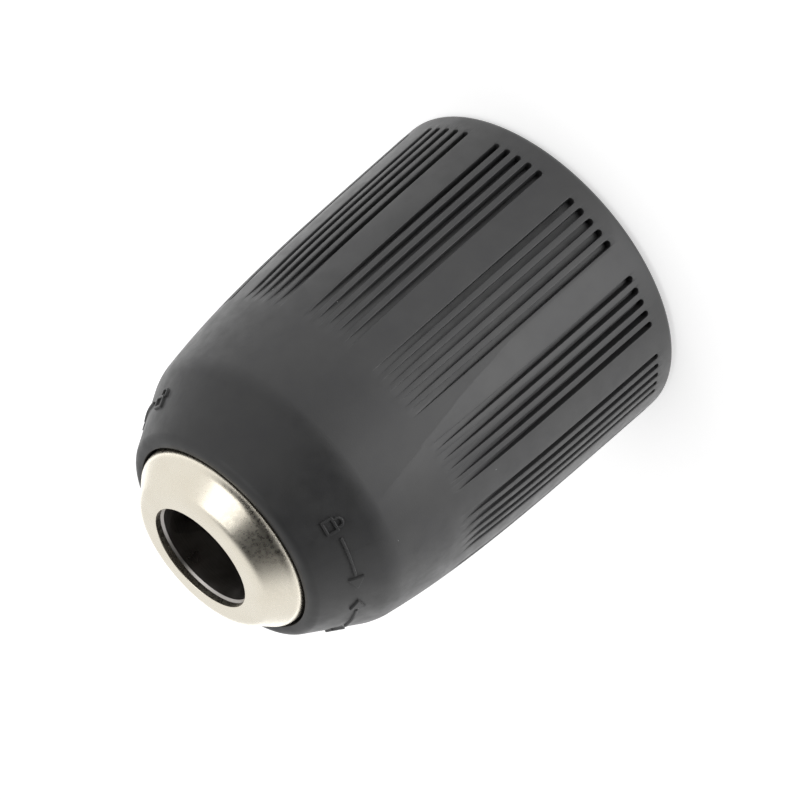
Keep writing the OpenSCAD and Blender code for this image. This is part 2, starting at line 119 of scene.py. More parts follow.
# Outside of the sleeve: rear rim, tapered and crowned side, shoulder, front cone and lip
RIM_ROUND = 0.75
SIDE_Z = 2.6
SHOULDER_SETBACK = 11.7
SHOULDER_Z = CHUCK_L - SHOULDER_SETBACK
SIDE_L = SHOULDER_Z - SIDE_Z
SIDE_TAPER = 0.03
SIDE_CROWN = 1.9
FRONT_WALL = 2.3
LIP_FLAT = 0.42
LIP_ROUND = 1.5

# Grip grooves, whose rear ends are round about GROOVE_END_Z
GROOVE_GROUPS = 12
GROOVES_PER_GROUP = 5
GROOVE_PITCH = math.radians(4.243)
GROOVE_HALF_W = 0.4
GROOVE_DEPTH = 1.05
GROOVE_SLOPE = math.tan(math.radians(1.1))
GROOVE_REAR_Z = 3.34
GROOVE_END_Z = GROOVE_REAR_Z + GROOVE_HALF_W


# ---- Meshes ----


def make_piece(name, vertices, faces, material, body, sharp=35):
    """A smooth-shaded mesh, given in millimetres, which rides on a CAD body."""
    mesh = bpy.data.meshes.new(name)
    mesh.from_pydata((np.asarray(vertices) * MM).tolist(), [], faces)
    shape = bmesh.new()
    shape.from_mesh(mesh)
    bmesh.ops.recalc_face_normals(shape, faces=shape.faces)
    shape.to_mesh(mesh)
    shape.free()
    mesh.shade_smooth()
    mesh.set_sharp_from_angle(angle=math.radians(sharp))
    mesh.materials.append(material)
    piece = bpy.data.objects.new(name, mesh)
    bpy.context.scene.collection.objects.link(piece)
    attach(piece, body)
    return piece


def grid_faces(rows, columns, wrap_rows=True, wrap_columns=True):
    """Quads of a grid of vertices, which is numbered row by row."""
    last_row = rows if wrap_rows else rows - 1
    last_column = columns if wrap_columns else columns - 1
    faces = []
    for i in range(last_row):
        here = i * columns
        there = (i + 1) % rows * columns
        for j in range(last_column):
            k = (j + 1) % columns
            faces.append((here + j, here + k, there + k, there + j))
    return faces


def arc(centre, radius, start, end, steps):
    """Points (r, z) of an arc, from one angle to another in degrees."""
    angles = np.radians(np.linspace(start, end, steps + 1))
    return [(centre[0] + radius * math.cos(a), centre[1] + radius * math.sin(a)) for a in angles]


def rounded(corners, radii, steps):
    """A closed outline in (r, z), with each corner rounded by its own radius."""
    outline = []
    count = len(corners)
    for i, (corner, radius) in enumerate(zip(corners, radii)):
        here = Vector(corner)
        to_last = (Vector(corners[i - 1]) - here).normalized()
        to_next = (Vector(corners[(i + 1) % count]) - here).normalized()
        if radius == 0:
            outline.append(tuple(here))
            continue
        half = to_last.angle(to_next) / 2
        centre = here + (to_last + to_next).normalized() * radius / math.sin(half)
        first = here + to_last * (radius / math.tan(half)) - centre
        turn = math.copysign(math.pi - 2 * half, to_last.x * to_next.y - to_last.y * to_next.x)
        start = math.degrees(math.atan2(first.y, first.x))
        outline += arc(centre, radius, start, start - math.degrees(turn), steps)
    return outline


def lathe(name, outline, material, body, segments):
    """A closed outline in (r, z) turned about the chuck's axis."""
    angles = np.linspace(0, 2 * math.pi, segments, endpoint=False)
    r, z = np.array(outline).T
    x = r[:, None] * np.cos(angles)
    y = r[:, None] * np.sin(angles)
    height = np.repeat(z[:, None], segments, axis=1)
    vertices = np.stack([x, y, height], axis=-1).reshape(-1, 3)
    return make_piece(name, vertices, grid_faces(len(r), segments), material, body)


# ---- Materials ----


class Shader:
    """A material's node tree, with short calls to add nodes and link them."""

    def __init__(self, name):
        self.material = bpy.data.materials.new(name)
        self.material.use_nodes = True
        self.tree = self.material.node_tree
        self.surface = self.tree.nodes["Principled BSDF"]

    def node(self, kind, inputs=(), **settings):
        """Adds a node with its settings, and with values or links for its inputs."""
        made = self.tree.nodes.new("ShaderNode" + kind)
        for key, value in settings.items():
            setattr(made, key, value)
        for key, value in dict(inputs).items():
            self.set(made.inputs[key], value)
        return made

    def set(self, socket, value):
        """Links another node's output to a socket, or sets the socket's own value."""
        if isinstance(value, bpy.types.NodeSocket):
            self.tree.links.new(value, socket)
        else:
            socket.default_value = value

    def principled(self, **inputs):
        """Sets the surface's sockets, whose names have spaces for underscores."""
        for key, value in inputs.items():
            self.set(self.surface.inputs[key.replace("_", " ")], value)

    def place(self):
        """Place on the object, in metres."""
        return self.node("TexCoord").outputs["Object"]

    def math(self, operation, a, b=0.0, c=0.0):
        made = self.node("Math", {0: a, 1: b, 2: c}, operation=operation)
        return made.outputs[0]

    def noise(self, size, detail=3, roughness=0.5):
        """Noise whose features are about so many millimetres across."""
        inputs = {
            "Vector": self.place(),
            "Scale": 1 / (size * MM),
            "Detail": detail,
            "Roughness": roughness,
        }
        return self.node("TexNoise", inputs).outputs["Fac"]

    def rings(self, size):
        """Noise along a turned surface, the same all round, as a cutting tool leaves it."""
        x, y, z = self.node("SeparateXYZ", {0: self.place()}).outputs
        squares = self.math("ADD", self.math("MULTIPLY", x, x), self.math("MULTIPLY", y, y))
        r = self.math("SQRT", squares)
        # The share of z gives rings to a straight side as well as to a flat face
        along = self.math("MULTIPLY_ADD", z, 0.83, r)
        inputs = {"W": along, "Scale": 1 / (size * MM), "Detail": 2}
        return self.node("TexNoise", inputs, noise_dimensions="1D").outputs["Fac"]

    def span(self, value, from_low, from_high, to_low, to_high):
        """Maps a value from one range to another, held to the second range."""
        inputs = {
            "Value": value,
            "From Min": from_low,
            "From Max": from_high,
            "To Min": to_low,
            "To Max": to_high,
        }
        return self.node("MapRange", inputs).outputs["Result"]

    def blend(self, share, a, b):
        """Goes from colour a to colour b."""
        made = self.node("Mix", {0: share, 6: a, 7: b}, data_type="RGBA")
        return made.outputs[2]

    def bump(self, height, distance, strength):
        """A bump whose full height is so many millimetres."""
        inputs = {"Height": height, "Distance": distance * MM, "Strength": strength}
        return self.node("Bump", inputs).outputs["Normal"]

    def specks(self, spacing, share, size):
        """1 on small scattered specks, and 0 elsewhere."""
        scale = 1 / (spacing * MM)
        cells = self.node("TexVoronoi", {"Vector": self.place(), "Scale": scale})
        near = self.math("LESS_THAN", cells.outputs["Distance"], size / spacing)
        tint = self.node("SeparateColor", {0: cells.outputs["Color"]}).outputs[0]
        chosen = self.math("LESS_THAN", tint, share)
        return self.math("MULTIPLY", near, chosen)


def grey(value):
    """A neutral colour."""
    return (value, value, value, 1)


def sleeve_plastic():
    """Charcoal glass-filled plastic: a fine moulded grain, handling marks and a little dust."""
    s = Shader("sleeve_plastic")
    mottle = s.noise(6, detail=4)
    grain = s.noise(0.16, detail=2)
    handled = s.noise(2.2, detail=5, roughness=0.65)
    base = s.blend(s.span(mottle, 0.35, 0.65, 0, 1), (0.022, 0.022, 0.023, 1), grey(0.028))
    dusty = s.blend(s.specks(1.7, 0.10, 0.045), base, grey(0.55))
    s.principled(
        Base_Color=dusty,
        Roughness=s.span(handled, 0.3, 0.7, 0.40, 0.54),
        Normal=s.bump(grain, 0.012, 0.5),
        IOR=1.5,
    )
    return s.material


def nickel_plate():
    """Satin nickel plating on the nose ring, with fine turning rings and a few scuffs."""
    s = Shader("nickel_plate")
    rings = s.rings(0.05)
    cloud = s.noise(4, detail=3)
    scuff = s.noise(0.5, detail=6, roughness=0.7)
    s.principled(
        Base_Color=s.blend(s.span(cloud, 0.3, 0.7, 0, 1), (0.80, 0.745, 0.63, 1), (0.84, 0.79, 0.68, 1)),
        Metallic=1.0,
        Roughness=s.span(scuff, 0.35, 0.75, 0.24, 0.36),
        Normal=s.bump(rings, 0.002, 0.35),
    )
    return s.material


def turned_steel(name, light, dark, roughness, ring_size=0.08, ring_height=0.004):
    """Bare machined steel, with the rings that the lathe leaves."""
    s = Shader(name)
    rings = s.rings(ring_size)
    stain = s.noise(3, detail=5, roughness=0.6)
    shade = s.math("ADD", s.math("MULTIPLY", rings, 0.5), s.math("MULTIPLY", stain, 0.5))
    s.principled(
        Base_Color=s.blend(s.span(shade, 0.35, 0.65, 0, 1), dark, light),
        Metallic=1.0,
        Roughness=s.span(stain, 0.3, 0.7, roughness - 0.05, roughness + 0.1),
        Normal=s.bump(rings, ring_height, 0.6),
    )
    return s.material


def worked_metal(name, light, dark, roughness, size=0.4, height=0.003):
    """Metal with an even finish that isn't turned: ground, phosphated, plated or stamped."""
    s = Shader(name)
    fine = s.noise(size, detail=4, roughness=0.6)
    cloud = s.noise(3, detail=4)
    s.principled(
        Base_Color=s.blend(s.span(cloud, 0.3, 0.7, 0, 1), dark, light),
        Metallic=1.0,
        Roughness=s.span(fine, 0.3, 0.7, roughness - 0.06, roughness + 0.1),
        Normal=s.bump(fine, height, 0.5),
    )
    return s.material


def cover_plastic():
    """Plain black plastic of the rear cover."""
    s = Shader("cover_plastic")
    grain = s.noise(0.25, detail=2)
    cloud = s.noise(5, detail=4)
    s.principled(
        Base_Color=s.blend(cloud, grey(0.018), grey(0.03)),
        Roughness=s.span(cloud, 0.3, 0.7, 0.42, 0.55),
        Normal=s.bump(grain, 0.01, 0.5),
    )
    return s.material


# ---- Sleeve ----


def side_r(z):
    """Radius of the sleeve's side at a height, which is tapered and crowned."""
    x = np.maximum(z - SIDE_Z, 0)
    return SLEEVE_R - SIDE_TAPER * x - SIDE_CROWN * (x / SIDE_L) ** 4


LIP_CENTRE = (MOUTH_R + LIP_FLAT, MOUTH_Z - LIP_ROUND)
SHOULDER_R = float(side_r(SHOULDER_Z))
LIP_REACH = math.hypot(LIP_CENTRE[0] - SHOULDER_R, LIP_CENTRE[1] - SHOULDER_Z)
LIP_DIRECTION = math.atan2(SHOULDER_R - LIP_CENTRE[0], LIP_CENTRE[1] - SHOULDER_Z)
# Angle between the front cone's surface and the axis: it touches the lip's rounding
CONE_ANGLE = LIP_DIRECTION - math.asin(LIP_ROUND / LIP_REACH)


def cone_r(z):
    """Radius of the sleeve's front cone at a height."""
    return SHOULDER_R - (z - SHOULDER_Z) * math.tan(CONE_ANGLE)


def cone_in_r(z):
    """Radius of the inside of the front cone at a height."""
    return cone_r(z) - FRONT_WALL / math.cos(CONE_ANGLE)


def soft_min(a, b, k):
    """The lower of two heights, with the corner between them rounded over k."""
    k = np.maximum(k, 1e-6)
    h = np.clip(0.5 + 0.5 * (b - a) / k, 0, 1)
    return b + (a - b) * h - k * h * (1 - h)


# Roundings of a groove's edges and floor, and how steeply its walls fall
GROOVE_EDGE_ROUND = 0.1
GROOVE_FLOOR_ROUND = 0.12
GROOVE_WALL_SLOPE = 60


def groove_drop(x, z):
    """How far the surface lies under the sleeve's side, at offset x from a groove's middle line."""
    floor_r = SLEEVE_R - GROOVE_DEPTH - GROOVE_SLOPE * (z - GROOVE_END_Z)
    depth = np.maximum(side_r(z) - floor_r, 0)
    past_end = np.maximum(GROOVE_END_Z - z, 0)
    inside = GROOVE_HALF_W - np.hypot(x, past_end)
    edge = np.clip(inside + GROOVE_EDGE_ROUND, 0, GROOVE_EDGE_ROUND)
    rounding = GROOVE_EDGE_ROUND - np.sqrt(GROOVE_EDGE_ROUND**2 - edge**2)
    wall = rounding + GROOVE_WALL_SLOPE * np.maximum(inside, 0)
    return soft_min(wall, depth, np.minimum(GROOVE_FLOOR_ROUND, depth))


def groove_offsets():
    """Offsets of the mesh columns across one groove, close together at its edges."""
    floor = GROOVE_HALF_W * np.sin(np.radians([0, 11, 23, 34, 45, 54, 62, 69, 75]))
    wall = GROOVE_HALF_W * np.array([0.978, 0.989, 1.0])
    edge = GROOVE_HALF_W + GROOVE_EDGE_ROUND * (1 - np.cos(np.radians([30, 48, 62, 76, 90])))
    half = np.concatenate([floor, wall, edge])
    return np.concatenate([-half[:0:-1], half])


def groove_angles():
    """Azimuth of the middle of every groove."""
    middle = (GROOVES_PER_GROUP - 1) / 2
    return [
        2 * math.pi / GROOVE_GROUPS * (g + 0.5) + GROOVE_PITCH * (k - middle)
        for g in range(GROOVE_GROUPS)
        for k in range(GROOVES_PER_GROUP)
    ]


# Pockets for the drive lugs and hollows for the lock spring's bumps, as the CAD source has them
LUGS = 3
LUG_ANGLE = 20
LOCK_ANGLE = 20
POCKET_SLACK = 0.5
BUMP_ANGLE = 70
BUMP_R = 0.55
LUG_PLACES = [360 / LUGS * i for i in range(LUGS)]
LUG_POCKETS = [
    (math.radians(a - POCKET_SLACK), math.radians(a + LUG_ANGLE + LOCK_ANGLE + POCKET_SLACK))
    for a in LUG_PLACES
]
DETENTS = [math.radians(a + BUMP_ANGLE + turn) for a in LUG_PLACES for turn in (0, LOCK_ANGLE)]
DETENT_R = BUMP_R + 2 * TURN_GAP
DETENT_CENTRE_R = BAND_R + SPRING_RISE
POCKET_R = LAND_R + TURN_GAP
POCKET_TOP_Z = NUT_TOP_Z + 2 * TURN_GAP
# Overrun of the pockets and hollows past the step that they cross
OVERRUN = 1
# Chamfer at the rear end of the sleeve's bore
BORE_CHAMFER = 0.2

# Offset from a groove's middle for the columns that stand between the grooves
FAR = 9.0


def sleeve_columns():
    """Mesh columns round the sleeve: azimuth, offset from it, and offset from a groove's middle."""
    columns = [(a, x, x) for a in groove_angles() for x in groove_offsets()]
    between = np.arange(GROOVE_GROUPS) * 360 / GROOVE_GROUPS
    plain = np.radians(between[:, None] + np.array([-4, -2.4, -0.8, 0.8, 2.4, 4])).ravel()
    step = math.radians(0.1)
    corners = [a + side for ends in LUG_POCKETS for a in ends for side in (-step, step)]
    across = np.radians([-2.6, -2, -1.3, -0.6, 0, 0.6, 1.3, 2, 2.6])
    hollows = [a + b for a in DETENTS for b in across]
    columns += [(a, 0, FAR) for a in np.concatenate([plain, corners, hollows]) if clear_of_grooves(a)]
    columns.sort(key=lambda c: (c[0] + c[1] / SLEEVE_R) % (2 * math.pi))
    return np.array(columns)


def clear_of_grooves(azimuth):
    """Whether a column at this azimuth stands on plain surface, between the grooves."""
    room = (GROOVE_HALF_W + GROOVE_EDGE_ROUND + 0.05) / SLEEVE_R
    turns = (azimuth - np.array(groove_angles()) + math.pi) % (2 * math.pi) - math.pi
    return bool(np.min(np.abs(turns)) > room)


def sleeve_inside(azimuth):
    """Rows (r, z) of the inside from the rear rim to the mouth, for every column."""
    in_pocket = np.zeros(len(azimuth), bool)
    for start, end in LUG_POCKETS:
        in_pocket |= (azimuth - start) % (2 * math.pi) < end - start
    hollow = np.zeros(len(azimuth))
    for a in DETENTS:
        turn = (azimuth - a + math.pi) % (2 * math.pi) - math.pi
        aside = DETENT_CENTRE_R * np.sin(turn)
        reach = DETENT_CENTRE_R + np.sqrt(np.maximum(DETENT_R**2 - aside**2, 0))
        hollow = np.where(np.abs(turn) < math.radians(3), np.maximum(hollow, reach), hollow)
    same = np.ones(len(azimuth))
    land = np.maximum(LAND_R, hollow)
    hollow_end_z = np.where(hollow > LAND_R, GUIDE_Z + OVERRUN, GUIDE_Z)
    step_z = np.where(in_pocket, GUIDE_Z - OVERRUN, hollow_end_z)
    guide = np.where(in_pocket, POCKET_R, GUIDE_R)
    cone_in_z = SHOULDER_Z - (GUIDE_R - cone_in_r(SHOULDER_Z)) / math.tan(CONE_ANGLE)
    return [
        (same * SLEEVE_BORE_R + BORE_CHAMFER, same * SLEEVE_REAR_Z),
        (same * SLEEVE_BORE_R, same * SLEEVE_REAR_Z + BORE_CHAMFER),
        (same * SLEEVE_BORE_R, same * LAND_Z),
        (land, same * LAND_Z),
        (land, step_z),
        (guide, step_z),
        (guide, same * POCKET_TOP_Z),
        (same * GUIDE_R, same * POCKET_TOP_Z),
        (same * GUIDE_R, same * cone_in_z),
        (same * cone_in_r(WEB_Z), same * WEB_Z),
        (same * WEB_R, same * WEB_Z),
        (same * WEB_R, same * WEB_TOP_Z),
        (same * MOUTH_R, same * WEB_TOP_Z),
    ]


# Roundings between side and cone, and at the mouth's edge
SHOULDER_ROUND = 7.0
MOUTH_EDGE = 0.12


def front_outline():
    """Points (r, z) of the front, from the mouth over the lip and cone to the rounded shoulder."""
    lip_start = (LIP_CENTRE[0], MOUTH_Z)
    mouth = arc((MOUTH_R + MOUTH_EDGE, MOUTH_Z - MOUTH_EDGE), MOUTH_EDGE, 180, 90, 4)
    lip = arc(LIP_CENTRE, LIP_ROUND, 90, math.degrees(CONE_ANGLE), 12)
    side_angle = math.atan(SIDE_TAPER + 4 * SIDE_CROWN / SIDE_L)
    reach = SHOULDER_ROUND * math.tan((CONE_ANGLE - side_angle) / 2)
    start_z = SHOULDER_Z + reach * math.cos(CONE_ANGLE)
    start = (cone_r(start_z), start_z)
    centre = (
        start[0] - SHOULDER_ROUND * math.cos(CONE_ANGLE),
        start[1] - SHOULDER_ROUND * math.sin(CONE_ANGLE),
    )
    shoulder = arc(centre, SHOULDER_ROUND, math.degrees(CONE_ANGLE), math.degrees(side_angle), 12)
    middle = [(cone_r(z), z) for z in np.linspace(lip[-1][1], start_z, 6)[1:-1]]
    return mouth + [lip_start] + lip[1:] + middle + shoulder


# Heights that part the side's rows, which lie closer from FADE_Z to FULL_Z, where grooves run out
FADE_Z = 37.0
FULL_Z = 30.0
NEAR_END_Z = 4.6
# Heights of the rows about a groove's round end, and shares of the way from there to the rim
END_ROWS = (0.30, 0.20, 0.13, 0.08, 0.04, 0.015, 0.0, -0.012, -0.03, -0.05, -0.075, -0.1)
RIM_SHARES = (0.35, 0.7, 1.0)


def sleeve_rows(columns):
    """Rows (r, z) of the whole section, for every column."""
    azimuth = columns[:, 0] + columns[:, 1] / SLEEVE_R
    x = columns[:, 2]
    same = np.ones(len(columns))
    rows = sleeve_inside(azimuth)
    front = front_outline()
    rows += [(same * r, same * z) for r, z in front]
    side_start = front[-1][1]
    heights = np.concatenate([
        np.linspace(side_start, FADE_Z, 5)[1:],
        np.linspace(FADE_Z, FULL_Z, 15)[1:],
        np.linspace(FULL_Z, NEAR_END_Z, 12)[1:],
    ])
    rows += [side_row(x, same * z) for z in heights]
    end_z = GROOVE_END_Z - np.sqrt(np.maximum(GROOVE_HALF_W**2 - x**2, 0))
    rows += [side_row(x, end_z + above) for above in END_ROWS]
    below = end_z - GROOVE_EDGE_ROUND
    rim_z = SLEEVE_REAR_Z + RIM_ROUND
    rows += [side_row(x, below + (rim_z - below) * share) for share in RIM_SHARES]
    rim = arc((SLEEVE_R - RIM_ROUND, rim_z), RIM_ROUND, 0, -90, 8)[1:]
    rows += [(same * r, same * z) for r, z in rim]
    return rows


def side_row(x, z):
    """One row (r, z) of the side, sunk where it crosses a groove."""
    return side_r(z) - groove_drop(x, z), z


def make_sleeve(material):
    """The sleeve in one piece, with its grooves, lip and inner steps."""
    columns = sleeve_columns()
    rows = sleeve_rows(columns)
    vertices = []
    for r, z in rows:
        azimuth = columns[:, 0] + columns[:, 1] / np.maximum(r, SHOULDER_R)
        vertices.append(np.stack([r * np.cos(azimuth), r * np.sin(azimuth), z], axis=-1))
    faces = grid_faces(len(rows), len(columns))
    sleeve = make_piece("sleeve", np.concatenate(vertices), faces, material, "sleeve")
    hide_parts("outer_sleeve")


# ---- Marks on the front cone ----

# Height over the cone, depth under it, and half the width of the sloped edges
MARK_RISE = 0.25
MARK_SUNK = 0.1
MARK_ROUND = 0.06
# Setback of the marks' middle from the nose face, half their patches' height, and the mesh's step
MARK_SETBACK = 8.1
MARK_Z = CHUCK_L - MARK_SETBACK
MARK_HALF_V = 1.4
MARK_CELL = 0.035
# Width and half length of the lines
LINE_W = 0.34
LINE_HALF_L = 2.6


def stroke(u, v, points, width):
    """Distance from a line through the points, less half its width."""
    best = np.full(u.shape, 1e3)
    for (u0, v0), (u1, v1) in zip(points[:-1], points[1:]):
        length2 = (u1 - u0) ** 2 + (v1 - v0) ** 2
        t = np.clip(((u - u0) * (u1 - u0) + (v - v0) * (v1 - v0)) / length2, 0, 1)
        best = np.minimum(best, np.hypot(u - u0 - t * (u1 - u0), v - v0 - t * (v1 - v0)))
    return best - width / 2


def padlock(u, v, shift=0.0):
    """Outline of a padlock; its shackle is turned aside by the shift when it is open."""
    half_w, low_v, high_v = 0.8, -1.05, 0.15
    bow_r, bow_rise, bow_v, free_v = 0.5, 0.42, 0.62, 0.45
    box = [(-half_w, low_v), (half_w, low_v), (half_w, high_v), (-half_w, high_v), (-half_w, low_v)]
    angles = np.radians(range(0, 181, 15))
    bow = [(shift + bow_r * math.cos(a), bow_v + bow_rise * math.sin(a)) for a in angles]
    last_v = high_v if shift == 0 else free_v
    shackle = [(shift + bow_r, high_v)] + bow + [(shift - bow_r, last_v)]
    return np.minimum(stroke(u, v, box, LINE_W), stroke(u, v, shackle, 0.9 * LINE_W))


def triangle(u, v, turn=1):
    """A solid arrow head that points along the turn."""
    half_l, half_w = 0.85, 0.95
    u = u * turn
    slope = math.hypot(2 * half_l, half_w)
    side = (half_w * (u - half_l) + 2 * half_l * np.abs(v)) / slope
    return np.maximum(side, -half_l - u)


def make_mark(name, shape, azimuth, half_u, material):
    """A low relief on the cone. The shape is a distance over (u along the turn, v to the rear)."""
    across = np.arange(-half_u, half_u + MARK_CELL / 2, MARK_CELL)
    along = np.arange(-MARK_HALF_V, MARK_HALF_V + MARK_CELL / 2, MARK_CELL)
    u, v = np.meshgrid(across, along)
    inside = -shape(u, v)
    wall = np.clip(inside / MARK_ROUND, -1, 1)
    height = (MARK_RISE + MARK_SUNK) / 2 * (1 + np.sin(wall * math.pi / 2)) - MARK_SUNK
    bottom = np.full(u.shape, -2 * MARK_SUNK)
    layers = [cone_points(u, v, h, azimuth) for h in (height, bottom)]
    rows, columns = u.shape
    base = [tuple(k + u.size for k in face) for face in grid_faces(rows, columns, False, False)]
    top = [tuple(k - u.size for k in reversed(face)) for face in base]
    rim = [*range(columns), *range(2 * columns - 1, u.size, columns)]
    rim += [*range(u.size - 2, u.size - columns - 1, -1), *range(u.size - 2 * columns, 0, -columns)]
    walls = [(b, b + u.size, a + u.size, a) for a, b in zip(rim, rim[1:] + rim[:1])]
    vertices = np.concatenate([layer.reshape(-1, 3) for layer in layers])
    make_piece(name, vertices, top + base + walls, material, "sleeve", 70)


def cone_points(u, v, height, azimuth):
    """Lays (u, v) on the front cone round an azimuth, with a height above it."""
    z = MARK_Z - v * math.cos(CONE_ANGLE) + height * math.sin(CONE_ANGLE)
    r = cone_r(MARK_Z) + v * math.sin(CONE_ANGLE) + height * math.cos(CONE_ANGLE)
    a = azimuth - u / cone_r(MARK_Z)
    return np.stack([r * np.cos(a), r * np.sin(a), z], axis=-1)


def turn_line(u, v):
    """A long bar that leads up to an arrow head."""
    return stroke(u, v, [(-LINE_HALF_L, 0), (LINE_HALF_L, 0)], LINE_W)


def open_padlock(u, v):
    """The padlock with its shackle turned aside."""
    return padlock(u, v, 0.75)


def back_triangle(u, v):
    """An arrow head that points the other way."""
    return triangle(u, v, -1)


def make_marks(material):
    """On each side a padlock, a line and an arrow head, for locking and for opening.

    Each has its name, its shape, its turn from the first mark in degrees, and half its patch's width.
    """
    for side, start in (("a", -158), ("b", 22)):
        for name, shape, turn, half_u in (
            ("locked", padlock, 0, 1.4),
            ("lock_line", turn_line, 16, 3.0),
            ("lock_arrow", triangle, 30, 1.4),
            ("open_arrow", back_triangle, 44, 1.4),
            ("open_line", turn_line, 58, 3.0),
            ("open", open_padlock, 75, 2.0),
        ):
            make_mark(f"mark_{side}_{name}", shape, math.radians(start - turn), half_u, material)


# ---- Nosepiece ----

BEVEL_W = 2.82
BEVEL_L = 3.16
# Roundings of the bevel's rear and front edge, the skirt's rear edge and the hole's edge
BEVEL_ROUND = 2.0
NOSE_ROUND = 2.0
SKIRT_ROUND = 0.15
HOLE_ROUND = 0.12
NOSE_STEP = 0.23
NOSE_HOLE_R = TOOL_R + NOSE_STEP
NOSE_FRONT_T = CHUCK_L - BODY_TOP_Z
SKIRT_WALL = SKIRT_R - SPIGOT_R


def make_nosepiece(material):
    """The plated ring: flat front, bevel, round edge and the skirt that goes into the sleeve."""
    bevel_angle = math.atan2(BEVEL_L, BEVEL_W)
    wall_drop = (NOSE_FRONT_T - SKIRT_WALL * math.cos(bevel_angle)) / math.sin(bevel_angle)
    inner_z = CHUCK_L - BEVEL_L - wall_drop
    inner_front_r = SPIGOT_R - (BODY_TOP_Z - inner_z) / math.tan(bevel_angle)
    corners = [
        (SPIGOT_R, SKIRT_Z),
        (SKIRT_R, SKIRT_Z),
        (SKIRT_R, CHUCK_L - BEVEL_L),
        (SKIRT_R - BEVEL_W, CHUCK_L),
        (NOSE_HOLE_R, CHUCK_L),
        (NOSE_HOLE_R, BODY_TOP_Z),
        (inner_front_r, BODY_TOP_Z),
        (SPIGOT_R, inner_z),
    ]
    radii = [0, SKIRT_ROUND, BEVEL_ROUND, NOSE_ROUND, HOLE_ROUND, 0, 0, 0]
    ring = lathe("nose_ring", rounded(corners, radii, 8), material, "body", 384)
    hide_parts("nosepiece")


# ---- Rear ----


def make_cover(material):
    """The rear cover: a stepped disc between the tail and the sleeve, with rounded edges."""
    wall = 0.8
    land = 2.2
    step = 0.25
    step_r = COVER_R - land
    step_in_r = TAIL_R + land
    corners = [
        (TAIL_R, COVER_Z),
        (step_in_r, COVER_Z),
        (step_in_r + step, COVER_Z + step),
        (step_r - step, COVER_Z + step),
        (step_r, COVER_Z),
        (COVER_R, COVER_Z),
        (COVER_R, COVER_TOP_Z),
        (COVER_R - wall, COVER_TOP_Z),
        (COVER_R - wall, COVER_Z + wall),
        (TAIL_R + wall, COVER_Z + wall),
        (TAIL_R + wall, COVER_TOP_Z),
        (TAIL_R, COVER_TOP_Z),
    ]
    radii = [0, 0.1, 0.1, 0.1, 0.1, 0.3, 0.1, 0.1, 0.2, 0.2, 0.1, 0]
    disc = lathe("cover_disc", rounded(corners, radii, 4), material, "body", 256)
    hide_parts("rear_cover")


THREAD_PITCH = 1.27
THREAD_DEPTH = 0.62
# Length of plain bore at its mouth and at its bottom, and how deep the ridge is rooted in the wall
THREAD_START = 0.9
THREAD_RUNOUT = 0.8
THREAD_ROOT = 0.05


def make_spindle_thread(material):
    """The thread in the spindle bore, as one ridge wound round the bore's wall."""
    turns = (SPINDLE_L - THREAD_RUNOUT - THREAD_START) / THREAD_PITCH
    steps = round(turns * 96)
    t = np.linspace(0, turns, steps + 1)
    # The ridge grows to its full height over a third of a turn at each end
    fade = np.clip(np.minimum(t, turns - t) * 3, 0.02, 1)
    crest_r = SPINDLE_R - THREAD_DEPTH * fade
    half = THREAD_PITCH / 2 * 0.94 * fade
    crest_half = THREAD_PITCH / 16
    middle_z = THREAD_START + THREAD_PITCH * t
    root_r = np.full(len(t), SPINDLE_R + THREAD_ROOT)
    section = [
        (root_r, middle_z - half),
        (crest_r, middle_z - crest_half * fade),
        (crest_r, middle_z + crest_half * fade),
        (root_r, middle_z + half),
    ]
    angle = 2 * math.pi * t
    rows = [np.stack([r * np.cos(angle), r * np.sin(angle), z], axis=-1) for r, z in section]
    vertices = np.concatenate(rows)
    count = len(t)
    faces = grid_faces(4, count, True, False)
    faces += [tuple(k * count for k in range(4)), tuple(k * count + count - 1 for k in (3, 2, 1, 0))]
    make_piece("spindle_thread", vertices, faces, material, "body", 40)


# ---- Floor, light and camera ----


# Extra light of the floor as the camera sees it, and half its width in metres
FLOOR_GLOW = 0.6
FLOOR_HALF = 3.0


def make_floor():
    """A plain white floor, which keeps the chuck's soft shadow and lets the low lamp through."""
    s = Shader("floor")
    path = s.node("LightPath").outputs
    mirrored = s.math("MAXIMUM", path["Is Glossy Ray"], path["Is Transmission Ray"])
    seen = s.math("MULTIPLY_ADD", path["Is Camera Ray"], FLOOR_GLOW, mirrored)
    s.principled(Base_Color=grey(0.80), Roughness=0.9, Specular_IOR_Level=0.1)
    glow = s.node("Emission", {"Color": grey(1), "Strength": seen})
    both = s.node("AddShader", {0: s.surface.outputs[0], 1: glow.outputs[0]})
    s.tree.links.new(both.outputs[0], s.tree.nodes["Material Output"].inputs["Surface"])
    corners = [(x * FLOOR_HALF, y * FLOOR_HALF, 0) for x, y in ((-1, -1), (1, -1), (1, 1), (-1, 1))]
    mesh = bpy.data.meshes.new("floor")
    mesh.from_pydata(corners, [], [(0, 1, 2, 3)])
    mesh.materials.append(s.material)
    floor = bpy.data.objects.new("floor", mesh)
    floor.visible_shadow = False
    bpy.context.scene.collection.objects.link(floor)


# Azimuth and elevation of the middle of the studio's darker side, and the angles from there at
# which it is at its darkest and at which it ends
DARK_SIDE = (210, 30)
DARK_INNER = 35
DARK_OUTER = 75


